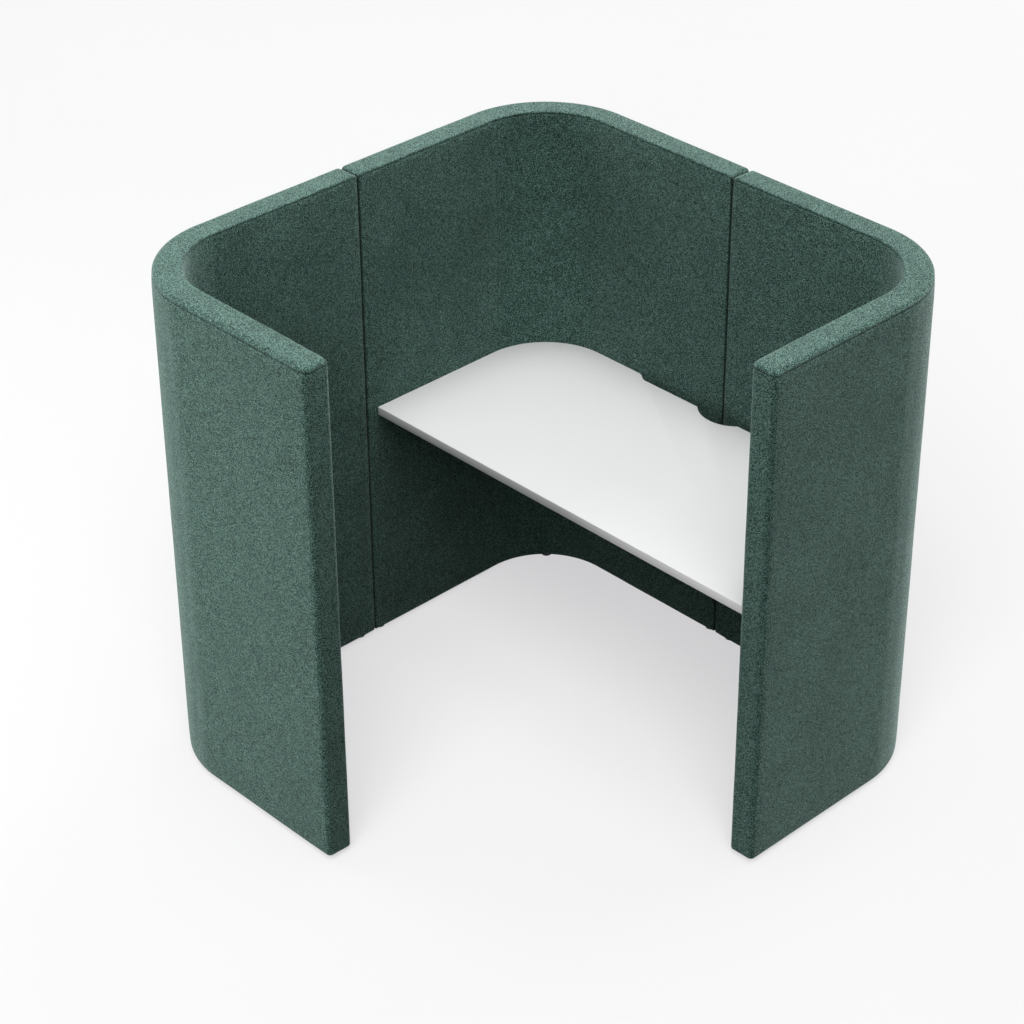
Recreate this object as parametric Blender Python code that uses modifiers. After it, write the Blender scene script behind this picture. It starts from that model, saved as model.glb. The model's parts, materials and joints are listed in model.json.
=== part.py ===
"""Study carrel: three identical upholstered corner modules round a fitted desk.

Each module is a padded panel bent through 90 degrees. Left, back and right modules enclose
three and a half sides of a rounded square, and the fourth corner is the entrance. The desk
spans the carrel in front of the rear wall. Nine levelling glides carry the modules.

Frame: metres, +Z up, origin on the floor under the middle of the rounded square.
+Y points at the wall that the user faces, and the entrance is the (+X, -Y) corner.
"""
import math

import bmesh
import bpy
from mathutils import Matrix

# ---------------------------------------------------------------- driving dimensions (metres)
SIDE = 1.520             # outer side of the rounded square
HEIGHT = 1.450           # floor to top of the panels
PANEL = 0.075            # thickness of an upholstered panel
CORNER_R = 0.2875        # outer radius of each bent corner
SEAM_GAP = 0.003         # gap between neighbouring modules
FLOOR_GAP = 0.0145       # underside of the covers above the floor
EDGE_R = 0.013           # rounding of the top and end edges
BOTTOM_R = 0.008         # rounding of the bottom edges
CLEAR = 0.0003           # gap kept between touching pieces

FABRIC = 0.0025          # cover thickness
HEM = 0.011              # width of fabric turned in under the panel
FRAME_W = 0.045          # width of the wooden frame members
PLY = 0.012              # thickness of the bent plywood core
BASE_BOARD_H = 0.028
TOP_BOARD_H = 0.018
POST_L = 0.030           # depth of an end post along the wall
POST_INSET = 0.014       # end post behind the panel's end face

DESK_TOP_Z = 0.740
DESK_T = 0.025
DESK_FRONT_Y = 0.0375
DESK_WALL_GAP = 0.003
RECESS_HALF = 0.293      # cable recess in the rear edge, measured to the middle of its steps
RECESS_DEPTH = 0.019
RECESS_STEP = 0.020      # half the length of a step along the edge
SCOOP_HALF = 0.074       # deeper cable scoop in the middle of the recess
SCOOP_DEPTH = 0.0315

BRACKET_LEG = 0.040
BRACKET_T = 0.003
BRACKET_L = 0.060
SCREW_R = 0.002
SCREW_HEAD_R = 0.0045
SCREW_HEAD_H = 0.002
DESK_SCREW_L = 0.018
WALL_SCREW_L = 0.040

GLIDE_R = 0.015
GLIDE_INNER = 0.027      # glide axis behind the panel's inner face
GLIDE_END = 0.036        # glide axis from the module's end
COLLAR_R = 0.009
STUD_R = 0.004
STUD_TOP_Z = 0.0415
INSERT_R = 0.006
INSERT_H = 0.020
BORE_GAP = 0.0001        # radial clearance of the stud in its insert

BOLT_R = 0.004
BOLT_HEIGHTS = {"lower": 0.30, "upper": 1.30}
BOLT_IN_POST = 0.024     # length of a seam bolt inside each post

ARC_STEPS = 12           # segments in each quarter arc
ROUND_STEPS = 2
HALF = SIDE / 2
INNER = HALF - PANEL     # distance of the inner wall faces from the middle
MID = PANEL / 2          # the panel's middle surface, from its outer face
HEM_Z = FLOOR_GAP + FABRIC

COLLECTION = "study_carrel"
# each module is the back module turned about Z; its ends are "a" (clockwise) and "b"
MODULES = {"left": 90.0, "back": 0.0, "right": -90.0}


# ---------------------------------------------------------------- scene and materials
def clear_scene():
    for obj in list(bpy.data.objects):
        bpy.data.objects.remove(obj, do_unlink=True)
    for name in (COLLECTION, "cutters"):
        if name in bpy.data.collections:
            bpy.data.collections.remove(bpy.data.collections[name])
        bpy.context.scene.collection.children.link(bpy.data.collections.new(name))


def material(name, color, roughness, metallic=0.0):
    mat = bpy.data.materials.get(name) or bpy.data.materials.new(name)
    mat.use_nodes = True
    shader = mat.node_tree.nodes["Principled BSDF"]
    shader.inputs["Base Color"].default_value = (*color, 1.0)
    shader.inputs["Roughness"].default_value = roughness
    shader.inputs["Metallic"].default_value = metallic
    return mat


def paints():
    return {
        "felt": material("felt", (0.060, 0.110, 0.092), 0.95),
        "foam": material("foam", (0.55, 0.52, 0.44), 0.95),
        "ply": material("ply", (0.55, 0.38, 0.22), 0.65),
        "laminate": material("laminate", (0.82, 0.82, 0.83), 0.40),
        "black_plastic": material("black_plastic", (0.012, 0.012, 0.013), 0.45),
        "steel": material("steel", (0.50, 0.50, 0.50), 0.35, 1.0),
        "painted_steel": material("painted_steel", (0.03, 0.03, 0.03), 0.45),
    }


# ---------------------------------------------------------------- outlines
def arc(cx, cy, radius, start, end, steps=ARC_STEPS):
    """Points on an arc, angles in degrees, both ends included."""
    points = []
    for i in range(steps + 1):
        a = math.radians(start + (end - start) * i / steps)
        points.append((cx + radius * math.cos(a), cy + radius * math.sin(a)))
    return points


def strip_outline(d_out, d_in, end):
    """Bent strip of the back module between two depths from the outer face."""
    c = HALF - CORNER_R
    outer = [(-HALF + d_out, end)] + arc(-c, c, CORNER_R - d_out, 180, 90) + [(-end, HALF - d_out)]
    inner = [(-end, HALF - d_in)] + arc(-c, c, CORNER_R - d_in, 90, 180) + [(-HALF + d_in, end)]
    return outer + inner


def desk_outline():
    """Desk board seen from above: rounded rear corners, cable recess and scoop."""
    side = INNER - DESK_WALL_GAP
    corner_r = CORNER_R - PANEL - DESK_WALL_GAP
    c = HALF - CORNER_R
    recess_y = side - RECESS_DEPTH
    step_in = RECESS_HALF - RECESS_STEP
    step_out = RECESS_HALF + RECESS_STEP
    scoop_r = (SCOOP_HALF ** 2 + SCOOP_DEPTH ** 2) / (2 * SCOOP_DEPTH)
    half_angle = math.degrees(math.asin(SCOOP_HALF / scoop_r))
    scoop_cy = recess_y - SCOOP_DEPTH + scoop_r

    def step(sign):
        """S-shaped step from the rear edge down into the recess, seen from outside inward."""
        points = []
        for i in range(9):
            t = i / 8
            drop = 0.5 - 0.5 * math.cos(math.pi * t)
            points.append((sign * (step_out - (step_out - step_in) * t), side - RECESS_DEPTH * drop))
        return points

    outline = [(-side, DESK_FRONT_Y), (side, DESK_FRONT_Y)]
    outline += arc(c, c, corner_r, 0, 90)
    outline += step(1)
    outline += arc(0.0, scoop_cy, scoop_r, -90 + half_angle, -90 - half_angle, 14)
    outline += step(-1)[::-1]
    outline += arc(-c, c, corner_r, 90, 180)
    return outline


# ---------------------------------------------------------------- solids
def add_object(name, mesh, mat, cutter=False):
    obj = bpy.data.objects.new(name, mesh)
    bpy.data.collections["cutters" if cutter else COLLECTION].objects.link(obj)
    if cutter:
        obj.hide_render = True
        obj.display_type = "WIRE"
    elif mat and not mesh.materials:
        mesh.materials.append(mat)
    return obj


def prism_mesh(name, outline, z0, z1):
    """Extrudes a flat outline, drawn as a filled curve, from z0 to z1."""
    curve = bpy.data.curves.new(name, "CURVE")
    curve.dimensions = "2D"
    curve.fill_mode = "BOTH"
    curve.extrude = (z1 - z0) / 2
    spline = curve.splines.new("POLY")
    spline.points.add(len(outline) - 1)
    for point, (x, y) in zip(spline.points, outline):
        point.co = (x, y, 0, 1)
    spline.use_cyclic_u = True
    obj = bpy.data.objects.new(name, curve)
    bpy.context.scene.collection.objects.link(obj)
    obj.location.z = (z0 + z1) / 2
    bpy.context.view_layer.update()
    mesh = bpy.data.meshes.new_from_object(obj.evaluated_get(bpy.context.evaluated_depsgraph_get()))
    mesh.transform(obj.matrix_world)
    mesh.name = name
    bpy.data.objects.remove(obj, do_unlink=True)
    bm = bmesh.new()
    bm.from_mesh(mesh)
    bmesh.ops.remove_doubles(bm, verts=bm.verts, dist=1e-5)
    bmesh.ops.dissolve_limit(bm, angle_limit=math.radians(0.5), verts=bm.verts, edges=bm.edges)
    bmesh.ops.recalc_face_normals(bm, faces=bm.faces)
    bm.to_mesh(mesh)
    bm.free()
    return mesh


def round_edges(mesh, radius, steps, pick):
    """Rounds the edges for which pick(vertex, vertex) is true."""
    bm = bmesh.new()
    bm.from_mesh(mesh)
    edges = [e for e in bm.edges if pick(e.verts[0].co, e.verts[1].co)]
    bmesh.ops.bevel(bm, geom=edges, offset=radius, offset_type="OFFSET", segments=steps,
                    profile=0.5, affect="EDGES", clamp_overlap=False)
    bmesh.ops.recalc_face_normals(bm, faces=bm.faces)
    bm.to_mesh(mesh)
    bm.free()


def round_panel(mesh, end, z0, z1, inset):
    """Rounds a bent strip's top rim, its four upright end edges and its bottom rim."""
    def flat(a, b, z):
        return abs(a.z - z) < 1e-5 and abs(b.z - z) < 1e-5

    def upright_end(a, b):
        at_end = abs(a.y - end) < 1e-5 or abs(a.x + end) < 1e-5
        return at_end and abs(a.x - b.x) < 1e-5 and abs(a.y - b.y) < 1e-5 and abs(a.z - b.z) > 0.1

    round_edges(mesh, EDGE_R - inset, ROUND_STEPS, lambda a, b: flat(a, b, z1) or upright_end(a, b))
    round_edges(mesh, BOTTOM_R - inset, ROUND_STEPS, lambda a, b: flat(a, b, z0))


def cylinder_mesh(name, sections, sides=16):
    """Stacked coaxial cylinders along Z from (radius, z0, z1) sections that share end faces."""
    profile = [(0.0, sections[-1][2])]
    for radius, z0, z1 in reversed(sections):
        profile += [(radius, z1), (radius, z0)]
    profile.append((0.0, sections[0][1]))
    mesh = bpy.data.meshes.new(name + "_profile")
    mesh.from_pydata([(r, 0, z) for r, z in profile], [(i, i + 1) for i in range(len(profile) - 1)], [])
    obj = bpy.data.objects.new(name, mesh)
    bpy.context.scene.collection.objects.link(obj)
    screw = obj.modifiers.new("turn", "SCREW")
    screw.steps = screw.render_steps = sides
    screw.use_merge_vertices = True
    screw.merge_threshold = 0.00005
    bpy.context.view_layer.update()
    turned = bpy.data.meshes.new_from_object(obj.evaluated_get(bpy.context.evaluated_depsgraph_get()))
    turned.name = name
    bpy.data.objects.remove(obj, do_unlink=True)
    bm = bmesh.new()
    bm.from_mesh(turned)
    bmesh.ops.remove_doubles(bm, verts=bm.verts, dist=1e-5)
    bmesh.ops.recalc_face_normals(bm, faces=bm.faces)
    bm.to_mesh(turned)
    bm.free()
    return turned


def merged_mesh(name, meshes_and_places):
    """One mesh holding separate copies of small solids, each moved by its matrix."""
    bm = bmesh.new()
    for mesh, matrix in meshes_and_places:
        copy = mesh.copy()
        copy.transform(matrix)
        bm.from_mesh(copy)
        bpy.data.meshes.remove(copy)
    mesh = bpy.data.meshes.new(name)
    bm.to_mesh(mesh)
    bm.free()
    return mesh


def cut(obj, cutter, operation="DIFFERENCE"):
    modifier = obj.modifiers.new(operation.lower() + "_" + cutter.name, "BOOLEAN")
    modifier.operation = operation
    modifier.solver = "EXACT"
    modifier.object = cutter


def baked(obj):
    """The evaluated mesh of an object, as a new mesh."""
    bpy.context.view_layer.update()
    mesh = bpy.data.meshes.new_from_object(obj.evaluated_get(bpy.context.evaluated_depsgraph_get()))
    mesh.name = obj.name
    return mesh


def turn(degrees):
    return Matrix.Rotation(math.radians(degrees), 4, "Z")


def place(x, y, z, tilt=0.0, axis="X"):
    """Moves to a point after a turn about one axis."""
    return Matrix.Translation((x, y, z)) @ Matrix.Rotation(math.radians(tilt), 4, axis)


def set_at(obj, matrix):
    obj.location = matrix.translation
    obj.rotation_euler = matrix.to_euler()


# ---------------------------------------------------------------- module pieces
def cutter_strip(name, d_out, d_in, end, z0, z1):
    return add_object(name, prism_mesh(name, strip_outline(d_out, d_in, end), z0, z1), None, True)


def glide_places():
    """Glide axes of the back module: by end a, in the middle of the bend, by end b."""
    depth = PANEL - GLIDE_INNER
    along = SEAM_GAP / 2 + GLIDE_END
    c = HALF - CORNER_R
    diagonal = (CORNER_R - depth) / math.sqrt(2)
    return [(-HALF + depth, along), (-c - diagonal, c + diagonal), (-along, HALF - depth)]


def cover_mesh():
    end = SEAM_GAP / 2
    mesh = prism_mesh("cover", strip_outline(0, PANEL, end), FLOOR_GAP, HEIGHT)
    round_panel(mesh, end, FLOOR_GAP, HEIGHT, 0.0)
    sleeve = add_object("cover_blank", mesh, None, True)
    cavity_mesh = prism_mesh("cover_cavity", strip_outline(FABRIC, PANEL - FABRIC, end + FABRIC),
                             HEM_Z, HEIGHT - FABRIC)
    round_panel(cavity_mesh, end + FABRIC, HEM_Z, HEIGHT - FABRIC, FABRIC)
    cavity = add_object("cover_cavity", cavity_mesh, None, True)
    mouth = cutter_strip("cover_mouth", HEM, PANEL - HEM, end + HEM, FLOOR_GAP - 0.01, HEM_Z + 0.01)
    cut(sleeve, cavity)
    cut(sleeve, mouth)
    return baked(sleeve)


def frame_members():
    """Depths, end insets and heights of the wooden frame's members."""
    w0 = MID - FRAME_W / 2
    w1 = MID + FRAME_W / 2
    end = SEAM_GAP / 2 + POST_INSET
    low = HEM_Z + CLEAR
    high = HEIGHT - FABRIC - POST_INSET
    base_top = low + BASE_BOARD_H
    top_low = high - TOP_BOARD_H
    return {
        "base_board": (w0, w1, end, low, base_top),
        "top_board": (w0, w1, end, top_low, high),
        "core_panel": (MID - PLY / 2, MID + PLY / 2, end + POST_L + CLEAR,
                       base_top + CLEAR, top_low - CLEAR),
        "post": (w0, w1, end, base_top + CLEAR, top_low - CLEAR),
    }


def post_outline(grow=0.0):
    """End post of the back module at end a, on the -X wall."""
    w0, w1, end = frame_members()["post"][:3]
    x0 = -HALF + w0 - grow
    x1 = -HALF + w1 + grow
    return [(x0, end - grow), (x1, end - grow), (x1, end + POST_L + grow), (x0, end + POST_L + grow)]


def mirrored(outline):
    """Outline mirrored in the module's own diagonal, from end a to end b."""
    return [(-y, -x) for x, y in outline][::-1]


def foam_mesh(side):
    """Foam pad on one side of the core, rounded like the cover and hollowed for the frame."""
    inset = FABRIC + 2 * CLEAR
    end = SEAM_GAP / 2 + inset
    low = FLOOR_GAP + inset
    high = HEIGHT - inset
    mesh = prism_mesh("foam_" + side, strip_outline(inset, PANEL - inset, end), low, high)
    round_panel(mesh, end, low, high, inset)
    pad = add_object("foam_blank_" + side, mesh, None, True)
    if side == "outer":
        half = cutter_strip("half_outer", -0.02, MID - CLEAR / 2, -0.02, low - 0.02, high + 0.02)
    else:
        half = cutter_strip("half_inner", MID + CLEAR / 2, PANEL + 0.02, -0.02, low - 0.02, high + 0.02)
    cut(pad, half, "INTERSECT")
    for name, (d0, d1, inset_end, z0, z1) in frame_members().items():
        if name == "post":
            for tag, outline in (("a", post_outline(CLEAR)), ("b", mirrored(post_outline(CLEAR)))):
                pocket = prism_mesh("pocket_post_" + tag, outline, z0 - 2 * CLEAR, z1 + 2 * CLEAR)
                cut(pad, add_object("pocket_post_" + tag + side, pocket, None, True))
        else:
            low_z = z0 - 0.02 if name == "base_board" else z0 - CLEAR
            cut(pad, cutter_strip("pocket_" + name + side, d0 - CLEAR, d1 + CLEAR,
                                  inset_end - CLEAR, low_z, z1 + CLEAR))
    return baked(pad)


def insert_bores(name, radius, z0, z1):
    bore = cylinder_mesh(name + "_bore", [(radius, z0, z1)])
    places = [(bore, place(x, y, 0)) for x, y in glide_places()]
    return add_object(name, merged_mesh(name, places), None, True)


def base_board_mesh():
    d0, d1, end, z0, z1 = frame_members()["base_board"]
    board = add_object("base_blank", prism_mesh("base_board", strip_outline(d0, d1, end), z0, z1), None, True)
    cut(board, insert_bores("insert_bores", INSERT_R + CLEAR, z0 - 0.005, z0 + INSERT_H + CLEAR))
    cut(board, insert_bores("stud_bores", STUD_R + CLEAR, z0 - 0.005, STUD_TOP_Z + 0.001))
    return baked(board)


def build_modules(paint):
    members = frame_members()
    shared = {
        "cover": (cover_mesh(), "felt"),
        "foam_outer": (foam_mesh("outer"), "foam"),
        "foam_inner": (foam_mesh("inner"), "foam"),
        "core_panel": (prism_mesh("core_panel", strip_outline(*members["core_panel"][:3]),
                                  *members["core_panel"][3:]), "ply"),
        "base_board": (base_board_mesh(), "ply"),
        "top_board": (prism_mesh("top_board", strip_outline(*members["top_board"][:3]),
                                 *members["top_board"][3:]), "ply"),
        "post_a": (prism_mesh("post_a", post_outline(), *members["post"][3:]), "ply"),
        "post_b": (prism_mesh("post_b", mirrored(post_outline()), *members["post"][3:]), "ply"),
    }
    pieces = {}
    for module, degrees in MODULES.items():
        for piece, (mesh, paint_name) in shared.items():
            obj = add_object(f"{piece}_{module}", mesh, paint[paint_name])
            obj.rotation_euler.z = math.radians(degrees)
            pieces[obj.name] = obj
    return pieces


def build_seam_bolts(pieces, paint):
    """Steel studs that join neighbouring end posts, and their bores."""
    reach = SEAM_GAP / 2 + POST_INSET + BOLT_IN_POST
    bolt = cylinder_mesh("seam_bolt", [(BOLT_R, -reach, reach)])
    bore = cylinder_mesh("seam_bore", [(BOLT_R + CLEAR, -reach - CLEAR, reach + CLEAR)])
    seams = {
        "left": ((("left", "b"), ("back", "a")), (-HALF + MID, 0), "X"),
        "right": ((("back", "b"), ("right", "a")), (0, HALF - MID), "Y"),
    }
    for seam, (ends, (x, y), axis) in seams.items():
        spots = []
        for level, z in BOLT_HEIGHTS.items():
            spot = place(x, y, z, 90, axis)
            set_at(add_object(f"seam_bolt_{seam}_{level}", bolt, paint["steel"]), spot)
            spots.append((bore, spot))
        name = "seam_bores_" + seam
        bores = add_object(name, merged_mesh(name, spots), None, True)
        for module, end in ends:
            for piece in ("cover", "foam_outer", "foam_inner", "post_" + end):
                cut(pieces[f"{piece}_{module}"], bores)


# ---------------------------------------------------------------- glides
def build_glides(paint):
    """Threaded inserts in the base boards and the levelling glides screwed into them."""
    low = HEM_Z + CLEAR
    tube = cylinder_mesh("insert_tube", [(INSERT_R, low, low + INSERT_H)])
    bore = cylinder_mesh("insert_hole", [(STUD_R + BORE_GAP, low - 0.002, low + INSERT_H + 0.002)])
    blank = add_object("insert_blank", tube, None, True)
    cut(blank, add_object("insert_hole", bore, None, True))
    insert = baked(blank)
    glide = cylinder_mesh("glide", [(GLIDE_R - 0.0012, 0.0, 0.0012), (GLIDE_R, 0.0012, FLOOR_GAP - CLEAR),
                                    (COLLAR_R, FLOOR_GAP - CLEAR, low - CLEAR),
                                    (STUD_R, low - CLEAR, STUD_TOP_Z)])
    names = {
        "left": ("left_front", "left_corner", "left_seam"),
        "back": ("back_seam_left", "back_corner", "back_seam_right"),
        "right": ("right_seam", "right_corner", "right_front"),
    }
    for module, degrees in MODULES.items():
        for name, (x, y) in zip(names[module], glide_places()):
            spot = place(*(turn(degrees) @ place(x, y, 0)).translation)
            set_at(add_object("glide_" + name, glide, paint["black_plastic"]), spot)
            set_at(add_object("insert_" + name, insert, paint["steel"]), spot)


# ---------------------------------------------------------------- desk
def bracket_places():
    """Place on the wall, heading and module of each desk bracket; the heading turns +X onto the wall."""
    side_y = 0.26
    rear_x = 0.385
    return {
        "left": (-INNER, side_y, 180.0, "back"),
        "rear_left": (-rear_x, INNER, 90.0, "back"),
        "rear_right": (rear_x, INNER, 90.0, "right"),
        "right": (INNER, side_y, 0.0, "right"),
    }


def bracket_mesh():
    """Steel angle: upright leg on the wall at +X, flat leg under the board, both drilled."""
    leg = BRACKET_LEG
    t = BRACKET_T
    outline = [(0, 0), (-leg, 0), (-leg, -t), (-t, -t), (-t, -leg), (0, -leg)]
    mesh = prism_mesh("bracket", outline, -BRACKET_L / 2, BRACKET_L / 2)
    mesh.transform(place(0, 0, 0, 90, "X"))
    blank = add_object("bracket_blank", mesh, None, True)
    hole = cylinder_mesh("bracket_hole", [(SCREW_R + CLEAR, -0.01, 0.01)], 12)
    spots = [(hole, place(-leg * 0.6, 0, -t / 2)), (hole, place(-t / 2, 0, -leg * 0.6, 90, "Y"))]
    cut(blank, add_object("bracket_holes", merged_mesh("bracket_holes", spots), None, True))
    return baked(blank)


def build_desk(pieces, paint):
    under = DESK_TOP_Z - DESK_T
    desk = add_object("desk_top", prism_mesh("desk_top", desk_outline(), under, DESK_TOP_Z), paint["laminate"])
    angle = bracket_mesh()
    head_gap = BRACKET_T + 2 * CLEAR
    desk_screw = cylinder_mesh("desk_screw", [(SCREW_HEAD_R, -head_gap - SCREW_HEAD_H, -head_gap),
                                              (SCREW_R, -head_gap, DESK_SCREW_L)], 12)
    desk_pilot = cylinder_mesh("desk_pilot", [(SCREW_R + CLEAR, -0.001, DESK_SCREW_L + CLEAR)], 12)
    wall_screw = cylinder_mesh("wall_screw", [(SCREW_HEAD_R, -head_gap - SCREW_HEAD_H, -head_gap),
                                              (SCREW_R, -head_gap, WALL_SCREW_L)], 12)
    wall_pilot = cylinder_mesh("wall_pilot", [(SCREW_R + CLEAR, -0.001, WALL_SCREW_L + CLEAR)], 12)
    desk_pilots = []
    wall_pilots = {"back": [], "right": []}
    for name, (x, y, heading, module) in bracket_places().items():
        spot = place(x, y, under - CLEAR) @ turn(heading) @ place(-CLEAR, 0, 0)
        set_at(add_object("bracket_" + name, angle, paint["painted_steel"]), spot)
        up = spot @ place(-BRACKET_LEG * 0.6, 0, 0)
        set_at(add_object("desk_screw_" + name, desk_screw, paint["steel"]), up)
        desk_pilots.append((desk_pilot, up))
        into = spot @ place(0, 0, -BRACKET_LEG * 0.6, 90, "Y")
        set_at(add_object("wall_screw_" + name, wall_screw, paint["steel"]), into)
        wall_pilots[module].append((wall_pilot, into))
    cut(desk, add_object("desk_pilots", merged_mesh("desk_pilots", desk_pilots), None, True))
    for module, pilots in wall_pilots.items():
        name = "wall_pilots_" + module
        cutter = add_object(name, merged_mesh(name, pilots), None, True)
        for piece in ("cover", "foam_inner", "core_panel"):
            cut(pieces[f"{piece}_{module}"], cutter)


# ---------------------------------------------------------------- assembly
def shade():
    for obj in bpy.data.collections[COLLECTION].objects:
        obj.data.shade_smooth()
        obj.data.set_sharp_from_angle(angle=math.radians(35))


def main():
    clear_scene()
    paint = paints()
    pieces = build_modules(paint)
    build_seam_bolts(pieces, paint)
    build_glides(paint)
    build_desk(pieces, paint)
    shade()


main()
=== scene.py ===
"""Looks of the study carrel: felt panels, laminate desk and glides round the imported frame.

All lengths are in metres. A panel is worked out in its own strip first, as t along its path from one
end to the other, d from its outer face to its inner one, and z upwards, and is then bent into place.
"""

import json
import math

import bmesh
import bpy
import numpy as np
from mathutils import Matrix, Vector, noise


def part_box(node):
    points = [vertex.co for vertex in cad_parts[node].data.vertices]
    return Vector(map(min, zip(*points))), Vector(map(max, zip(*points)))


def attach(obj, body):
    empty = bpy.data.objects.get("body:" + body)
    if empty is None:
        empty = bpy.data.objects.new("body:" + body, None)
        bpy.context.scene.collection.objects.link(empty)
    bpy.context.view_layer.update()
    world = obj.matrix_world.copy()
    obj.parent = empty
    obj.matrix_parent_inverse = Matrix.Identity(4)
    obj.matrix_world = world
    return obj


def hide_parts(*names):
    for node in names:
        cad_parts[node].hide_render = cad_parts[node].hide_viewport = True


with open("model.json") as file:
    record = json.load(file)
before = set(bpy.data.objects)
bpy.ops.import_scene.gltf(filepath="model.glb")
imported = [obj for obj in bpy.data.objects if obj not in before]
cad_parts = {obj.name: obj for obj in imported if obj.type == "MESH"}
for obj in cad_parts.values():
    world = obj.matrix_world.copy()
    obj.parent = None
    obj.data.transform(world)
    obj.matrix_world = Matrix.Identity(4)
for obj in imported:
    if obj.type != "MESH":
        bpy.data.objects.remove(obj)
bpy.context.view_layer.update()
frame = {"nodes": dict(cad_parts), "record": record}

# ---------------------------------------------------------------- sizes taken from the CAD model
back_low, back_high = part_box("cover_back")
desk_low, desk_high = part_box("desk_top")
HALF = -back_low.x                 # outer side of the carrel, halved
SEAM_END = back_low.y              # a module's end face, half a seam gap from the middle
PANEL_Z0 = back_low.z
PANEL_Z1 = back_high.z
PANEL = 0.075                      # panel thickness
CORNER_R = 0.2875                  # outer radius of the bends
BEND_C = HALF - CORNER_R           # centre of a bend, along both axes
MODULES = {                        # turn in degrees, and the free end: 0 where t starts, 1 where it ends
    "left": (90.0, 0),
    "back": (0.0, None),
    "right": (-90.0, 1),
}
ON_FACE = 1e-6                     # points closer than this to a face lie on it

# ---------------------------------------------------------------- camera
CAMERA_AZIMUTH = 45.688            # degrees from -Y towards +X
CAMERA_ELEVATION = 32.767
CAMERA_DISTANCE = 7.268
CAMERA_TARGET = Vector((0.0, 0.0, 0.7048))
CAMERA_SENSOR = 36.0               # millimetres, as the lens
CAMERA_LENS = 98.82
CAMERA_SHIFT = (-0.0300, 0.0073)


def looking(towards):
    """Rotation of a camera or light that looks along a direction."""
    return Vector(towards).to_track_quat("-Z", "Y").to_euler()


def make_camera():
    a = math.radians(CAMERA_AZIMUTH)
    e = math.radians(CAMERA_ELEVATION)
    back = Vector((math.sin(a) * math.cos(e), -math.cos(a) * math.cos(e), math.sin(e)))
    data = bpy.data.cameras.new("camera")
    data.sensor_width = CAMERA_SENSOR
    data.lens = CAMERA_LENS
    data.shift_x, data.shift_y = CAMERA_SHIFT
    data.clip_start = 0.1
    data.clip_end = 100.0
    camera = bpy.data.objects.new("camera", data)
    bpy.context.scene.collection.objects.link(camera)
    camera.location = CAMERA_TARGET + back * CAMERA_DISTANCE
    camera.rotation_euler = looking(-back)
    bpy.context.scene.camera = camera


# ---------------------------------------------------------------- material helpers
class Nodes:
    """Small helper that adds and links shader nodes, in a new material or in the tree that it is given."""

    def __init__(self, name, tree=None):
        if tree is None:
            self.material = bpy.data.materials.new(name)
            self.material.use_nodes = True
            tree = self.material.node_tree
            self.shader = tree.nodes["Principled BSDF"]
        self.tree = tree

    def add(self, kind, inputs=None, **settings):
        node = self.tree.nodes.new("ShaderNode" + kind)
        for key, value in settings.items():
            setattr(node, key, value)
        for key, value in (inputs or {}).items():
            self.put(node.inputs[key], value)
        return node

    def put(self, socket, value):
        if isinstance(value, bpy.types.NodeSocket):
            self.tree.links.new(value, socket)
        else:
            socket.default_value = value

    def noise(self, vector, scale, detail=2.0, roughness=0.5):
        node = self.add("TexNoise", {"Vector": vector, "Scale": scale, "Detail": detail,
                                     "Roughness": roughness})
        return node.outputs["Fac"]

    def math(self, operation, a, b=0.0):
        node = self.add("Math", {0: a, 1: b}, operation=operation)
        return node.outputs[0]

    def spread(self, value, low, high, to_low=0.0, to_high=1.0):
        node = self.add("MapRange", {"Value": value, "From Min": low, "From Max": high,
                                     "To Min": to_low, "To Max": to_high})
        return node.outputs["Result"]

    def ramp(self, value, stops):
        node = self.add("ValToRGB", {"Fac": value})
        ramp = node.color_ramp
        for i, (at, color) in enumerate(stops):
            element = ramp.elements[i] if i < 2 else ramp.elements.new(at)
            element.position = at
            element.color = (*color, 1.0)
        return node.outputs["Color"]

    def mix(self, factor, a, b, blend="MIX"):
        node = self.add("Mix", data_type="RGBA", blend_type=blend)
        self.put(node.inputs[0], factor)
        self.put(node.inputs[6], a)
        self.put(node.inputs[7], b)
        return node.outputs[2]

    def bump(self, height, strength, distance):
        inputs = {"Height": height, "Strength": strength, "Distance": distance}
        return self.add("Bump", inputs).outputs["Normal"]

    def finish(self, **sockets):
        for key, value in sockets.items():
            self.put(self.shader.inputs[key.replace("_", " ")], value)
        return self.material


def scaled(color, factor):
    return tuple(c * factor for c in color)


FELT = (0.041, 0.096, 0.078)
FELT_LIGHT = (0.240, 0.390, 0.340)
# painted shade: the colour that the felt is darkened towards in the seam grooves and the joints between
# panels
FELT_PAINTED_SHADE = (0.004, 0.009, 0.008, 1.0)
TUFTS = (680.0, 680.0, 800.0)      # tufts per metre: 1.5 mm along the panel and 1.25 mm high


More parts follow.
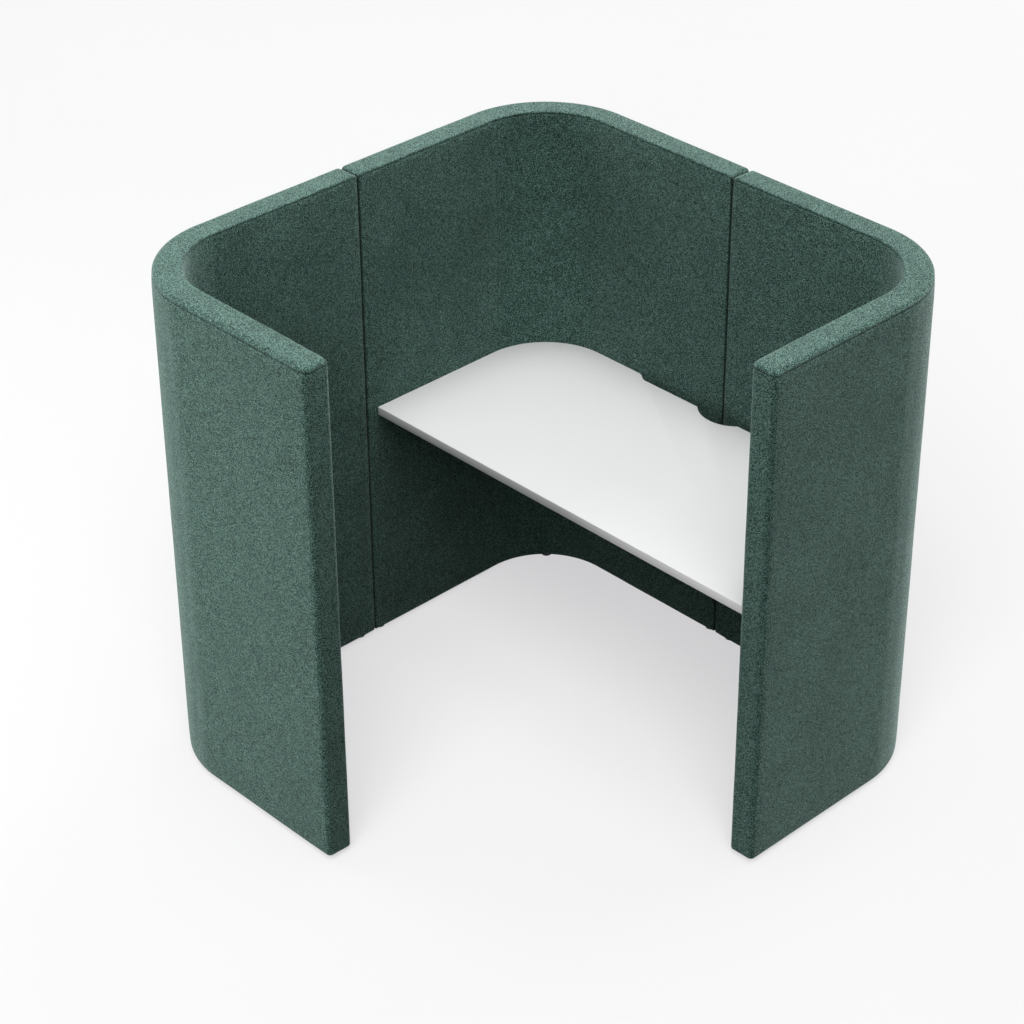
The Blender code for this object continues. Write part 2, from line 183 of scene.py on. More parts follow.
def felt_material():
    """Wool felt: light and dark tufts, fine fibres, cloudy dye, and painted shade in the seam grooves and
    in the joints between panels.

    The attribute "seam" is 1 on a seam or in a joint, and 0 elsewhere; it sets how much painted shade the
    felt gets there."""
    n = Nodes("felt")
    at = n.add("TexCoord").outputs["Object"]
    laid = n.add("Mapping", {"Vector": at, "Scale": TUFTS}).outputs["Vector"]
    tuft = n.add("TexVoronoi", {"Vector": laid, "Scale": 1.0}).outputs["Color"]
    tuft = n.add("SeparateColor", {0: tuft}).outputs["Red"]
    fibre = n.spread(n.noise(laid, 1.7, 2.0, 0.6), 0.3, 0.7)
    grain = n.math("ADD", n.math("MULTIPLY", tuft, 0.6), n.math("MULTIPLY", fibre, 0.4))
    melange = n.ramp(grain, [(0.15, scaled(FELT, 0.05)), (0.42, scaled(FELT, 0.37)),
                             (0.60, scaled(FELT, 1.10)), (0.82, FELT_LIGHT)])
    cloud = n.math("ADD", n.math("MULTIPLY", n.noise(at, 9.0, 2.0), 0.5),
                   n.math("MULTIPLY", n.noise(at, 38.0, 2.0), 0.5))
    dye = n.ramp(cloud, [(0.35, (0.84, 0.84, 0.84)), (0.65, (1.0, 1.0, 1.0))])
    groove_shade = n.add("Attribute", attribute_name="seam").outputs["Fac"]
    dyed = n.mix(1.0, melange, dye, "MULTIPLY")
    # painted shade: the felt goes three quarters of the way to near black where the seam attribute is 1, in
    # seam grooves and joints
    color = n.mix(n.math("MULTIPLY", groove_shade, 0.75), dyed, FELT_PAINTED_SHADE)
    return n.finish(Base_Color=color, Roughness=0.95, Normal=n.bump(grain, 0.6, 0.0012),
                    Specular_IOR_Level=0.12, Sheen_Weight=0.45, Sheen_Roughness=0.24,
                    Sheen_Tint=(0.80, 0.95, 0.91, 1.0))


def laminate_material():
    """Matt white laminate with a faint pearl structure."""
    n = Nodes("laminate")
    at = n.add("TexCoord").outputs["Object"]
    fine = n.noise(at, 900.0, 2.0, 0.5)
    soft = n.noise(at, 3.0, 3.0, 0.5)
    color = n.ramp(soft, [(0.3, (0.604, 0.603, 0.606)), (0.7, (0.616, 0.615, 0.618))])
    rough = n.spread(n.noise(at, 40.0, 3.0), 0.3, 0.7, 0.42, 0.50)
    return n.finish(Base_Color=color, Roughness=rough, Normal=n.bump(fine, 0.08, 0.0003))


def plastic_material():
    """Black glass-filled nylon with a fine moulded grain."""
    n = Nodes("black_plastic")
    at = n.add("TexCoord").outputs["Object"]
    grain = n.noise(at, 1400.0, 2.0)
    soft = n.noise(at, 60.0, 3.0)
    color = n.ramp(soft, [(0.3, (0.010, 0.010, 0.011)), (0.7, (0.018, 0.018, 0.019))])
    rough = n.spread(grain, 0.3, 0.7, 0.42, 0.58)
    return n.finish(Base_Color=color, Roughness=rough, Normal=n.bump(grain, 0.25, 0.0002))


def steel_material():
    """Zinc-plated steel with a faint drawn streak."""
    n = Nodes("zinc_steel")
    at = n.add("TexCoord").outputs["Object"]
    stretched = n.add("Mapping", {"Vector": at, "Scale": (40.0, 40.0, 900.0)}).outputs["Vector"]
    streak = n.noise(stretched, 1.0, 3.0)
    soft = n.noise(at, 120.0, 3.0)
    color = n.ramp(soft, [(0.3, (0.46, 0.47, 0.48)), (0.7, (0.60, 0.60, 0.58))])
    rough = n.spread(streak, 0.3, 0.7, 0.28, 0.44)
    return n.finish(Base_Color=color, Metallic=1.0, Roughness=rough,
                    Normal=n.bump(streak, 0.12, 0.0001))


def powder_coat_material():
    """Matt black powder coat with an orange-peel surface."""
    n = Nodes("powder_coat")
    at = n.add("TexCoord").outputs["Object"]
    peel = n.noise(at, 700.0, 2.0)
    soft = n.noise(at, 30.0, 3.0)
    color = n.ramp(soft, [(0.3, (0.022, 0.022, 0.023)), (0.7, (0.032, 0.032, 0.033))])
    return n.finish(Base_Color=color, Roughness=n.spread(peel, 0.3, 0.7, 0.44, 0.56),
                    Normal=n.bump(peel, 0.3, 0.0002))


def plywood_material():
    """Birch plywood: stretched grain on the faces, thin veneer lines on the edges."""
    n = Nodes("birch_plywood")
    at = n.add("TexCoord").outputs["Object"]
    stretched = n.add("Mapping", {"Vector": at, "Scale": (60.0, 60.0, 3.0)}).outputs["Vector"]
    grain = n.noise(stretched, 1.0, 4.0, 0.6)
    layered = n.add("Mapping", {"Vector": at, "Scale": (2.0, 2.0, 700.0)}).outputs["Vector"]
    veneer = n.noise(layered, 1.0, 1.0)
    tone = n.math("ADD", n.math("MULTIPLY", grain, 0.75), n.math("MULTIPLY", veneer, 0.25))
    color = n.ramp(tone, [(0.3, (0.36, 0.23, 0.12)), (0.5, (0.55, 0.39, 0.23)),
                          (0.7, (0.68, 0.52, 0.34))])
    return n.finish(Base_Color=color, Roughness=n.spread(grain, 0.3, 0.7, 0.55, 0.75),
                    Normal=n.bump(grain, 0.2, 0.0003))


def foam_material():
    """Open-cell foam: a pale body with painted shade in its small pores."""
    n = Nodes("acoustic_foam")
    at = n.add("TexCoord").outputs["Object"]
    cells = n.add("TexVoronoi", {"Vector": at, "Scale": 600.0}).outputs["Distance"]
    # painted shade: the colour is dark at the cell centres, where the pores are shadowed
    color = n.ramp(cells, [(0.1, (0.26, 0.24, 0.19)), (0.5, (0.56, 0.53, 0.45))])
    return n.finish(Base_Color=color, Roughness=0.95, Normal=n.bump(cells, 0.5, 0.0008))


MATERIALS = {
    "felt_fabric": felt_material(),
    "foam": foam_material(),
    "plywood": plywood_material(),
    "white_laminate": laminate_material(),
    "black_plastic": plastic_material(),
    "steel": steel_material(),
    "painted_steel": powder_coat_material(),
}


def dress_cad_nodes():
    """Gives each CAD node the procedural material of its slot."""
    slots = {row["node"]: row["material_slot"] for row in frame["record"]["subparts"]}
    for name, obj in frame["nodes"].items():
        for slot in obj.material_slots:
            slot.material = MATERIALS[slots[name]]


# ---------------------------------------------------------------- upholstered panels
FAR = 1.0                  # a distance at which a seam or a joint has no effect
PROBE = 0.001              # short step that tells which way is outwards
OUTER_R = 0.013            # rounding of the outer edges, where the cover wraps over the foam
INNER_R = 0.0045           # tighter rounding of the inner edges, where the seam runs
FREE_END_R = 0.013         # inner upright edge at the entrance, where no neighbour presses on it
FOOT_R = 0.008             # rounding of the bottom edges
FREE_FADE = (0.05, 0.15)           # distance along the path over which the free end's rounding fades
SHOULDER_FADE = (0.07, 0.015)      # below the top, where a joint's upright edges widen to OUTER_R
JOINT_FADE = (0.008, 0.030)        # from an end, where the top inner edge tightens to INNER_R
JOINT_SHARE = 0.6                  # how much of that widening the top inner edge takes at an end
FOOT_FADE = (0.05, 0.25)           # above the bottom, where the foot's rounding gives way to the top's
HEM = 0.011                # width of the cover turned in under the panel
HEM_UP = 0.012             # height of the turned-up hem
SEAM_DROP = 0.0138         # the outer seam below the panel's top
INNER_SEAM_DROP = 0.0050   # the inner seam below the panel's top
SEAM_WIDTH = 0.0015        # half the width of a sewn groove
SEAM_DEPTH = 0.0020
CROWN = (0.0006, 0.020)            # height of the foam between seams, and how far from a seam it rises
BROAD_WAVES = (0.0006, 6.0)        # unevenness of the cover: height and waves per metre
FINE_WAVES = (0.00035, 30.0)
FINE_REACH = 0.030                 # the fine waves die out this far from a seam
JOINT_SHADE = (0.0008, 0.0036)     # painted shade: the felt is painted darkest this close to a joined end, and plain beyond
FACE_GRID = (68, 73)               # cloth points along and up a large face
CLOTH_FRAMES = 20
CLOTH_PRESSURE = 4.0
OUTER_SWELL = 0.0020               # the most that the simulated cloth stands out
INNER_SWELL = 0.0013
STRAIGHT = BEND_C - SEAM_END
BEND_LENGTH = (CORNER_R - PANEL / 2) * math.pi / 2
PATH_LENGTH = 2 * STRAIGHT + BEND_LENGTH
# Grid lines near an edge, by their distance from it. The seams lie on the 5.0 and 13.8 mm lines.
EDGE_LINES = [0.0, 0.0011, 0.0023, 0.0036, 0.0050, 0.0070, 0.0092, 0.0112, 0.0126, 0.0138,
              0.0150, 0.0166, 0.0190, 0.0230, 0.0290, 0.0370]
DEPTH_LINES = EDGE_LINES[:12] + [0.0190]
GRID_STEPS = (0.010, 0.006, 0.014)  # spacing of the lines between, along t, d and z


def lines(length, step, edge_lines):
    """Grid lines along a side: close together at both ends, evenly spaced between them."""
    reach = edge_lines[-1]
    count = max(2, round((length - 2 * reach) / step))
    middle = [reach + (length - 2 * reach) * i / count for i in range(count + 1)]
    return np.array(edge_lines[:-1] + middle + [length - e for e in reversed(edge_lines[:-1])])


def smooth(x, low, high):
    t = np.clip((x - low) / (high - low), 0.0, 1.0)
    return t * t * (3 - 2 * t)


def rounded(t, d, z, free_end):
    """Moves points of the sharp strip onto its rounded edges. Returns them and their outward directions."""
    p = np.stack([t, d, z], -1)
    free = 0.0
    if free_end is not None:
        free = 1 - smooth(np.abs(t - free_end * PATH_LENGTH), *FREE_FADE)
    inner_r = INNER_R + (FREE_END_R - INNER_R) * free
    inwards = smooth(d, 0.25 * PANEL, 0.75 * PANEL)
    radius = OUTER_R + (inner_r - OUTER_R) * inwards
    shoulder = smooth(z, PANEL_Z1 - SHOULDER_FADE[0], PANEL_Z1 - SHOULDER_FADE[1])
    radius_t = radius + (OUTER_R - radius) * shoulder
    radius_z = OUTER_R + (INNER_R - OUTER_R) * inwards
    end = np.minimum(t, PATH_LENGTH - t)
    radius_z = radius_z + (OUTER_R - radius_z) * (1 - smooth(end, *JOINT_FADE)) * JOINT_SHARE
    upper = smooth(z, PANEL_Z0 + FOOT_FADE[0], PANEL_Z0 + FOOT_FADE[1])
    radius_z = radius_z * (FOOT_R / OUTER_R + (1 - FOOT_R / OUTER_R) * upper)
    radii = np.stack([radius_t, radius, radius_z], -1)
    low = np.array([0.0, 0.0, PANEL_Z0])
    high = np.array([PATH_LENGTH, PANEL, PANEL_Z1])
    core = np.clip(p, low + radii, high - radii)
    q = (p - core) / radii
    q /= np.maximum(np.linalg.norm(q, axis=-1, keepdims=True), 1e-9)
    return core + q * radii, q


def on_path(p):
    """Maps (along the path, depth from the outer face, height) into the back module."""
    t, d, z = p[..., 0], p[..., 1], p[..., 2]
    angle = np.pi - np.clip((t - STRAIGHT) / BEND_LENGTH, 0.0, 1.0) * np.pi / 2
    before = np.minimum(t - STRAIGHT, 0.0)
    after = np.maximum(t - STRAIGHT - BEND_LENGTH, 0.0)
    radius = CORNER_R - d
    x = -BEND_C + radius * np.cos(angle) + after
    y = BEND_C + radius * np.sin(angle) + before
    return np.stack([x, y, z], -1)


def panel_surface():
    """Vertices (t, d, z on the sharp strip) and quads of one panel's skin, open under the hem.

    The hem's turned-up rim comes last, and its number of vertices is returned too."""
    ts = lines(PATH_LENGTH, GRID_STEPS[0], EDGE_LINES)
    ds = lines(PANEL, GRID_STEPS[1], DEPTH_LINES)
    zs = lines(PANEL_Z1 - PANEL_Z0, GRID_STEPS[2], EDGE_LINES) + PANEL_Z0
    index = {}
    verts = []
    quads = []

    def vertex(i, j, k):
        if (i, j, k) not in index:
            index[i, j, k] = len(verts)
            verts.append((ts[i], ds[j], zs[k]))
        return index[i, j, k]

    def patch(count_a, count_b, corner, flip):
        for a in range(count_a):
            for b in range(count_b):
                quad = [corner(a, b), corner(a + 1, b), corner(a + 1, b + 1), corner(a, b + 1)]
                quads.append(quad[::-1] if flip else quad)

    ni, nj, nk = len(ts) - 1, len(ds) - 1, len(zs) - 1
    patch(ni, nk, lambda a, b: vertex(a, 0, b), True)
    patch(ni, nk, lambda a, b: vertex(a, nj, b), False)
    patch(ni, nj, lambda a, b: vertex(a, b, nk), True)
    patch(nj, nk, lambda a, b: vertex(0, a, b), False)
    patch(nj, nk, lambda a, b: vertex(ni, a, b), True)
    hem = [j for j in range(nj + 1) if HEM <= ds[j] <= PANEL - HEM]
    hem_t = [i for i in range(ni + 1) if HEM <= ts[i] <= PATH_LENGTH - HEM]
    j0, j1, i0, i1 = hem[0], hem[-1], hem_t[0], hem_t[-1]
    for a in range(ni):
        for b in range(nj):
            if i0 <= a < i1 and j0 <= b < j1:
                continue
            corners = [(a, b), (a + 1, b), (a + 1, b + 1), (a, b + 1)]
            quads.append([vertex(i, j, 0) for i, j in corners])
    rim = ([(i, j0) for i in range(i0, i1)] + [(i1, j) for j in range(j0, j1)]
           + [(i, j1) for i in range(i1, i0, -1)] + [(i0, j) for j in range(j1, j0, -1)])
    rim_low = [vertex(i, j, 0) for i, j in rim]
    rim_high = []
    for i, j in rim:
        rim_high.append(len(verts))
        verts.append((ts[i], ds[j], PANEL_Z0 + HEM_UP))
    for this in range(len(rim)):
        after = (this + 1) % len(rim)
        quads.append([rim_low[this], rim_low[after], rim_high[after], rim_high[this]])
    return np.array(verts), quads, len(rim)


def wander(points, scale, seed):
    """Smooth noise in -1..1 at each point."""
    offset = Vector((seed * 17.3, seed * 5.1, seed * 9.7))
    return np.array([noise.noise(Vector(p) * scale + offset) for p in points])


def joined_end(at, t, free_end):
    """Distance of places along the path from the nearer joined end. A free end counts as far off.

    The half of the panel that a point belongs to follows from its t on the sharp strip."""
    end = np.minimum(at, PATH_LENGTH - at)
    if free_end is None:
        return end
    return np.where(np.abs(t - free_end * PATH_LENGTH) < PATH_LENGTH / 2, FAR, end)


def seam_distance(t, d, z, free_end):
    """Distance to the nearest sewn seam, on the sharp strip: outer, inner top and joined ends."""
    end = joined_end(t, t, free_end)
    on_inner = d > PANEL - ON_FACE
    on_top = z > PANEL_Z1 - ON_FACE
    nearest_side = np.minimum(d, np.minimum(t, PATH_LENGTH - t))
    outer = np.where(on_top, SEAM_DROP + nearest_side, np.abs(z - (PANEL_Z1 - SEAM_DROP)))
    outer = np.where(on_inner, FAR, outer)
    top = np.where(on_top, INNER_SEAM_DROP + PANEL - d, np.abs(z - (PANEL_Z1 - INNER_SEAM_DROP)))
    top = np.where(on_inner | on_top, top, FAR)
    upright = np.where(on_inner | (end < ON_FACE), np.hypot(end, PANEL - d), FAR)
    return np.minimum(np.minimum(outer, top), upright)


def simulated_face(depth, top, cap):
    """Cloth simulation of one large face of a panel, held along its seams and blown up by the foam.

    Returns the grid lines and how far the cloth stands out at each crossing, kept below the cap."""
    ts = np.linspace(0.0, PATH_LENGTH, FACE_GRID[0])
    zs = np.linspace(PANEL_Z0, top, FACE_GRID[1])
    t, z = np.meshgrid(ts, zs, indexing="ij")
    further = depth + (PROBE if depth else -PROBE)
    still = on_path(np.stack([t, np.full_like(t, depth), z], -1)).reshape(-1, 3)
    beyond = on_path(np.stack([t, np.full_like(t, further), z], -1)).reshape(-1, 3)
    outward = (beyond - still) / PROBE
    rows = len(zs)
    quads = [[i * rows + k, (i + 1) * rows + k, (i + 1) * rows + k + 1, i * rows + k + 1]
             for i in range(len(ts) - 1) for k in range(rows - 1)]
    if not depth:
        quads = [quad[::-1] for quad in quads]
    sheet = add_mesh("cloth_sheet", still, quads, MATERIALS["felt_fabric"])
    held = sheet.vertex_groups.new(name="held")
    border = np.ones(t.shape, bool)
    border[1:-1, 1:-1] = False
    held.add([int(i) for i in np.flatnonzero(border)], 1.0, "REPLACE")
    cloth = sheet.modifiers.new("cloth", "CLOTH")
    cloth.settings.quality = 5
    cloth.settings.vertex_group_mass = "held"
    cloth.settings.use_pressure = True
    cloth.settings.uniform_pressure_force = CLOTH_PRESSURE
    cloth.settings.effector_weights.gravity = 0.0
    cloth.collision_settings.use_collision = False
    cloth.point_cache.frame_start = 1
    cloth.point_cache.frame_end = CLOTH_FRAMES
    scene = bpy.context.scene
    for number in range(1, CLOTH_FRAMES + 1):
        scene.frame_set(number)
    shaped = sheet.evaluated_get(bpy.context.evaluated_depsgraph_get())
    moved = np.array([v.co for v in shaped.data.vertices])
    out = np.abs(((moved - still) * outward).sum(1))
    scene.frame_set(1)
    mesh = sheet.data
    bpy.data.objects.remove(sheet)
    bpy.data.meshes.remove(mesh)
    return ts, zs, (cap * (1 - np.exp(-out / cap))).reshape(t.shape)


def sampled(face, t, z):
    """The face's swell at each (t, z), read between its grid lines."""
    ts, zs, grid = face
    a = np.clip((t - ts[0]) / (ts[1] - ts[0]), 0, len(ts) - 1.001)
    b = np.clip((z - zs[0]) / (zs[1] - zs[0]), 0, len(zs) - 1.001)
    i, k = a.astype(int), b.astype(int)
    a, b = a - i, b - k
    value = (grid[i, k] * (1 - a) * (1 - b) + grid[i + 1, k] * a * (1 - b)
             + grid[i, k + 1] * (1 - a) * b + grid[i + 1, k + 1] * a * b)
    return np.where((z <= zs[-1]) & (z >= zs[0]), value, 0.0)


def panel_shape(seed, turned, free_end, swell):
    """The skin of one panel in place, with seams, softness and a little unevenness.

    Returns the vertices, the quads and how much painted shade each vertex gets in a seam or a joint, from 0
    to 1."""
    sharp, quads, rim_count = panel_surface()
    t, d, z = sharp.T
    hem_up = np.arange(len(sharp)) >= len(sharp) - rim_count
    soft, out = rounded(t, d, z, free_end)
    soft[hem_up] = sharp[hem_up]
    out[hem_up] = 0.0
    places = on_path(soft)
    aims = on_path(soft + out * PROBE) - places
    aims /= np.maximum(np.linalg.norm(aims, axis=1, keepdims=True), 1e-9)
    seam = seam_distance(t, d, z, free_end)
    # The seam profile sinks the sewn groove below, and it also sets the painted shade in the groove.
    groove_shade = np.exp(-(seam / SEAM_WIDTH) ** 2)
    lift = -SEAM_DEPTH * groove_shade
    lift += CROWN[0] * (1 - np.exp(-seam / CROWN[1]))
    if swell:
        lift += np.where(d < ON_FACE, sampled(swell[0], t, z), 0.0)
        lift += np.where(d > PANEL - ON_FACE, sampled(swell[1], t, z), 0.0)
    lift += BROAD_WAVES[0] * wander(places, BROAD_WAVES[1], seed)
    lift += FINE_WAVES[0] * wander(places, FINE_WAVES[1], seed + 1) * np.exp(-seam / FINE_REACH)
    places = places + aims * lift[:, None]
    # Painted shade in the joint between panels, darkest at a joined end.
    groove_shade = np.maximum(groove_shade, 1 - smooth(joined_end(soft[:, 0], t, free_end), *JOINT_SHADE))
    groove_shade[hem_up] = 0.0
    matrix = Matrix.Rotation(math.radians(turned), 3, "Z")
    return places @ np.array(matrix).T, quads, groove_shade


def add_object(name, data, material=None):
    if material is not None:
        data.materials.append(material)
    obj = bpy.data.objects.new(name, data)
    bpy.context.scene.collection.objects.link(obj)
    return obj


def add_mesh(name, places, faces, material):
    mesh = bpy.data.meshes.new(name)
    mesh.from_pydata([tuple(p) for p in places], [], faces)
    mesh.shade_smooth()
    return add_object(name, mesh, material)


def make_panels():
    swell = []
    swell = [simulated_face(0.0, PANEL_Z1 - SEAM_DROP, OUTER_SWELL),
             simulated_face(PANEL, PANEL_Z1, INNER_SWELL)]
    for number, (module, (turned, free_end)) in enumerate(MODULES.items()):
        places, quads, groove_shade = panel_shape(number * 3 + 1, turned, free_end, swell)
        panel = add_mesh(f"upholstered_panel_{module}", places, quads, MATERIALS["felt_fabric"])
        # The seam attribute carries the painted shade of the seams and joints to the felt material.
        panel.data.attributes.new("seam", "FLOAT", "POINT").data.foreach_set("value", groove_shade)
        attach(panel, "carrel")
        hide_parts(f"cover_{module}", f"foam_outer_{module}", f"foam_inner_{module}")


# ---------------------------------------------------------------- desk board
RECESS_HALF = 0.293        # cable recess in the rear edge, to the middle of its steps
RECESS_DEPTH = 0.019
RECESS_STEP = 0.020        # half the length of a step
SCOOP_HALF = 0.074
SCOOP_DEPTH = 0.0315
ARRIS = 0.0010             # broken edge of the laminated board
STEP_POINTS = 16
ARC_POINTS = 32
DESK_SHARP = 35            # degrees: sharper turns than this stay crisp


def arc(cx, cy, radius, start, end):
    points = []
    for i in range(ARC_POINTS + 1):
        a = math.radians(start + (end - start) * i / ARC_POINTS)
        points.append((cx + radius * math.cos(a), cy + radius * math.sin(a)))
    return points


def desk_outline():
    """The board from above, anticlockwise from its front left corner."""
    side = desk_high.x
    rear = desk_high.y
    corner_r = side - BEND_C
    recess_y = rear - RECESS_DEPTH
    scoop_r = (SCOOP_HALF ** 2 + SCOOP_DEPTH ** 2) / (2 * SCOOP_DEPTH)
    half_angle = math.degrees(math.asin(SCOOP_HALF / scoop_r))
    scoop_y = recess_y - SCOOP_DEPTH + scoop_r

    def step(sign):
        points = []
        for i in range(STEP_POINTS + 1):
            share = i / STEP_POINTS
            drop = 0.5 - 0.5 * math.cos(math.pi * share)
            x = RECESS_HALF + RECESS_STEP * (1 - 2 * share)
            points.append((sign * x, rear - RECESS_DEPTH * drop))
        return points

    outline = [(-side, desk_low.y), (side, desk_low.y)]
    outline += arc(BEND_C, BEND_C, corner_r, 0, 90)
    outline += step(1)
    outline += arc(0.0, scoop_y, scoop_r, -90 + half_angle, -90 - half_angle)
    outline += step(-1)[::-1]
    outline += arc(-BEND_C, BEND_C, corner_r, 90, 180)
    return outline


def make_desk():
    bm = bmesh.new()
    bottom = bm.faces.new([bm.verts.new((x, y, desk_low.z)) for x, y in desk_outline()])
    grown = bmesh.ops.extrude_face_region(bm, geom=[bottom])
    moved = [g for g in grown["geom"] if isinstance(g, bmesh.types.BMVert)]
    bmesh.ops.translate(bm, verts=moved, vec=(0, 0, desk_high.z - desk_low.z))
    bmesh.ops.recalc_face_normals(bm, faces=bm.faces)
    flat = [e for e in bm.edges if abs(e.verts[0].co.z - e.verts[1].co.z) < ON_FACE]
    bmesh.ops.bevel(bm, geom=flat, offset=ARRIS, segments=2, profile=0.5, affect="EDGES")
    mesh = bpy.data.meshes.new("desk_board")
    bm.to_mesh(mesh)
    bm.free()
    mesh.shade_smooth()
    mesh.set_sharp_from_angle(angle=math.radians(DESK_SHARP))
    desk = add_object("desk_board", mesh, MATERIALS["white_laminate"])
    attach(desk, "carrel")
    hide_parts("desk_top")


# ---------------------------------------------------------------- glides
GLIDE_NAMES = ("left_front", "left_corner", "left_seam", "back_seam_left", "back_corner",
               "back_seam_right", "right_seam", "right_corner", "right_front")
STUD_R = 0.004
THREAD_DEPTH = 0.0005
THREAD_TURNS = 14
GLIDE_SIDES = 48
RIB_DEPTH = 0.025          # depth of the foot's ribs, as a share of its radius
COLLAR_GAP = 0.0003        # between the collar and the panel above it
GLIDE_SHARP = 32           # degrees


def rows_of_quads(rows, sides):
    """Quads between closed rows of vertices, one row above the other."""
    quads = []
    for row in range(rows - 1):
        a, b = row * sides, (row + 1) * sides
        for k in range(sides):
            m = (k + 1) % sides
            quads.append([a + k, a + m, b + m, b + k])
    return quads


def glide_mesh(foot_r, foot_top, stud_top):
    """Levelling glide: dished foot with a ribbed rim, hexagonal collar and threaded stud."""
    profile = [(0.0, 0.0008), (foot_r * 0.55, 0.0004), (foot_r * 0.80, 0.0), (foot_r - 0.0022, 0.0),
               (foot_r - 0.0006, 0.0006), (foot_r, 0.0022), (foot_r, 0.0052), (foot_r - 0.0007, 0.0066),
               (foot_r - 0.0030, 0.0080), (0.0085, 0.0088), (0.0072, foot_top - 0.0045),
               (0.0080, foot_top - 0.0040), (0.0086, foot_top - 0.0032), (0.0086, foot_top - 0.0006),
               (0.0078, foot_top), (STUD_R, foot_top)]
    pitch = (stud_top - foot_top - 0.001) / THREAD_TURNS
    for i in range(THREAD_TURNS):
        z = foot_top + pitch * i
        profile += [(STUD_R - THREAD_DEPTH, z + pitch * 0.25), (STUD_R, z + pitch * 0.75)]
    profile += [(STUD_R - 0.0006, stud_top - 0.0006), (STUD_R - 0.0012, stud_top), (0.0, stud_top)]
    verts = []
    for r, z in profile:
        for k in range(GLIDE_SIDES):
            angle = 2 * math.pi * k / GLIDE_SIDES
            share = 1.0
            if 0.0020 < z < 0.0054 and r > foot_r - 0.0001:
                share = 1.0 - RIB_DEPTH * (k % 2)
            if foot_top - 0.0045 < z < foot_top - 0.0001 and r > 0.0075:
                hexagon = math.cos(math.pi / 6) / math.cos((angle % (math.pi / 3)) - math.pi / 6)
                share = min(1.0, hexagon * 1.06)
            verts.append((r * share * math.cos(angle), r * share * math.sin(angle), z))
    faces = rows_of_quads(len(profile), GLIDE_SIDES)
    mesh = bpy.data.meshes.new("glide")
    mesh.from_pydata(verts, [], faces)
    bm = bmesh.new()
    bm.from_mesh(mesh)
    bmesh.ops.remove_doubles(bm, verts=bm.verts, dist=1e-6)
    bmesh.ops.recalc_face_normals(bm, faces=bm.faces)
    bm.to_mesh(mesh)
    bm.free()
    mesh.shade_smooth()
    mesh.set_sharp_from_angle(angle=math.radians(GLIDE_SHARP))
    mesh.materials.append(MATERIALS["black_plastic"])
    return mesh


def make_glides():
    low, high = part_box("glide_back_corner")
    mesh = glide_mesh((high.x - low.x) / 2, PANEL_Z0 - COLLAR_GAP, high.z)
    for name in GLIDE_NAMES:
        low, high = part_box("glide_" + name)
        glide = add_object("levelling_glide_" + name, mesh)
        glide.location = ((low.x + high.x) / 2, (low.y + high.y) / 2, 0.0)
        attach(glide, "glide_" + name)
        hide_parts("glide_" + name)


# ---------------------------------------------------------------- studio
BACKDROP_R = 40.0
FLOOR_GLOW = (0.558, 0.552, 0.566, 1.0)
BACKDROP_GLOW = (0.960, 0.960, 0.962, 1.0)
DOME_RINGS = 24
DOME_SIDES = 96
SKY_LOBES = [                      # towards, how narrow, how bright
    ((0.0, 0.0, 1.0), 60.0, 24.5),
    ((0.57, 0.0, 0.82), 8.0, 1.1),
    ((0.41, -0.41, 0.82), 8.0, 2.3),
    ((0.70, -0.70, 0.09), 8.0, 1.0),
    ((0.0, 1.0, 0.09), 8.0, 10.9),
]
SOFT_BOXES = [                     # place, aimed at, width, height, watts
    ((-1.0, -3.0, 0.9), (-0.25, -0.76, 0.8), 2.0, 1.2, 51.0),
    ((-3.0, -1.5, 2.5), (0.0, 0.0, 0.7), 2.0, 2.0, 86.0),
]
FLOOR_LIGHT = (0.50, -0.62, 0.95)  # towards the wide light that reaches the floor alone
FLOOR_LIGHT_STRENGTH = 11.4
FLOOR_LIGHT_WIDTH = 40             # degrees


def make_floor():
    """Pale studio floor. It glows a little, so that the shadows on it stay light."""
    n = Nodes("studio_floor")
    at = n.add("TexCoord").outputs["Object"]
    color = n.ramp(n.noise(at, 0.7, 2.0), [(0.3, (0.078, 0.079, 0.077)), (0.7, (0.080, 0.081, 0.079))])
    material = n.finish(Base_Color=color, Roughness=0.9, Specular_IOR_Level=0.1,
                        Emission_Color=FLOOR_GLOW, Emission_Strength=1.0)
    material.cycles.emission_sampling = "NONE"
    size = BACKDROP_R + 1.0
    corners = [(-size, -size, 0.0), (size, -size, 0.0), (size, size, 0.0), (-size, size, 0.0)]
    floor = add_mesh("floor", corners, [(0, 1, 2, 3)], material)
    floor.visible_diffuse = False
    return floor


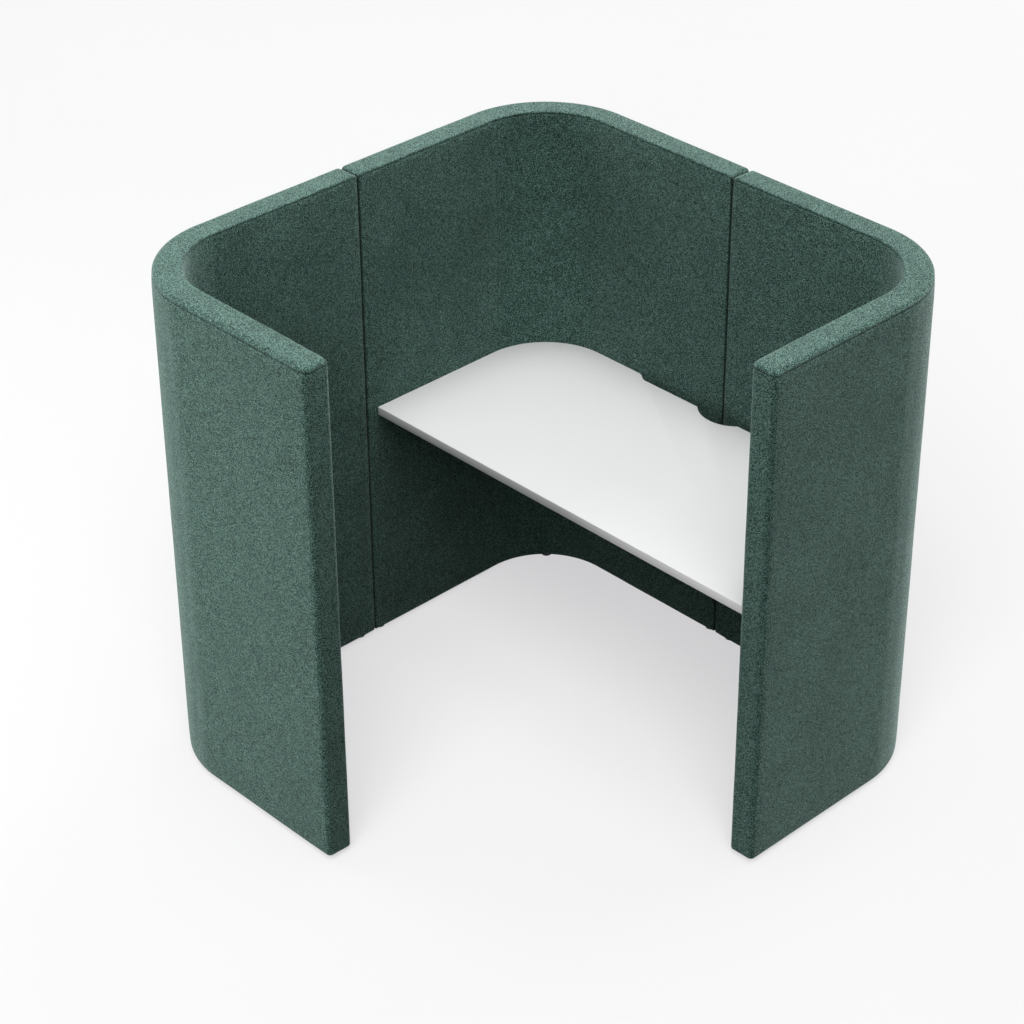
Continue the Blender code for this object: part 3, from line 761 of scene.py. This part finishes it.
def make_backdrop():
    """Pale dome behind the floor. Only the camera sees it, so it neither gives nor blocks light."""
    n = Nodes("studio_backdrop")
    material = n.finish(Base_Color=(0.0, 0.0, 0.0, 1.0), Specular_IOR_Level=0.0,
                        Emission_Color=BACKDROP_GLOW, Emission_Strength=1.0)
    material.cycles.emission_sampling = "NONE"
    verts = []
    for i in range(DOME_RINGS):
        rise = math.radians(-1.0 + 90.0 * i / DOME_RINGS)
        ring_r = BACKDROP_R * math.cos(rise)
        for k in range(DOME_SIDES):
            around = 2 * math.pi * k / DOME_SIDES
            verts.append((ring_r * math.cos(around), ring_r * math.sin(around),
                          BACKDROP_R * math.sin(rise)))
    faces = rows_of_quads(DOME_RINGS, DOME_SIDES)
    faces.append([(DOME_RINGS - 1) * DOME_SIDES + k for k in range(DOME_SIDES)])
    dome = add_mesh("backdrop", verts, faces, material)
    for kind in ("diffuse", "glossy", "transmission", "volume_scatter", "shadow"):
        setattr(dome, "visible_" + kind, False)


def soft_box(name, place, aim, width, height, watts):
    data = bpy.data.lights.new(name, "AREA")
    data.shape = "RECTANGLE"
    data.size, data.size_y, data.energy = width, height, watts
    light = add_object(name, data)
    light.location = place
    light.rotation_euler = looking(Vector(aim) - Vector(place))
    light.visible_camera = False


def light_floor(floor):
    """A wide sun linked to the floor alone."""
    data = bpy.data.lights.new("floor_light", "SUN")
    data.energy = FLOOR_LIGHT_STRENGTH
    data.angle = math.radians(FLOOR_LIGHT_WIDTH)
    light = add_object("floor_light", data)
    light.rotation_euler = looking(-Vector(FLOOR_LIGHT))
    lit = bpy.data.collections.new("lit_by_floor_light")
    lit.objects.link(floor)
    light.light_linking.receiver_collection = lit


def make_light(floor):
    """Wide soft lobes in a dark sky, two large soft boxes, and a sun for the floor."""
    world = bpy.data.worlds.new("studio")
    world.use_nodes = True
    n = Nodes("", world.node_tree)
    toward = n.add("TexCoord").outputs["Generated"]
    height = n.add("SeparateXYZ", {0: toward}).outputs["Z"]
    total = 0.0
    for direction, narrow, bright in SKY_LOBES:
        along = n.add("VectorMath", {0: toward, 1: direction}, operation="DOT_PRODUCT").outputs["Value"]
        lobe = n.math("POWER", n.math("MAXIMUM", along, 0.0), narrow)
        total = n.math("ADD", total, n.math("MULTIPLY", lobe, bright))
    total = n.math("MULTIPLY", total, n.math("GREATER_THAN", height, 0.0))
    background = world.node_tree.nodes["Background"].inputs
    n.put(background["Color"], (1.0, 1.0, 1.0, 1.0))
    n.put(background["Strength"], total)
    bpy.context.scene.world = world
    bpy.context.scene.view_settings.view_transform = "Standard"
    for i, box in enumerate(SOFT_BOXES):
        soft_box(f"soft_box_{i}", *box)
    light_floor(floor)


make_camera()
dress_cad_nodes()
make_panels()
make_desk()
make_glides()
make_light(make_floor())
make_backdrop()
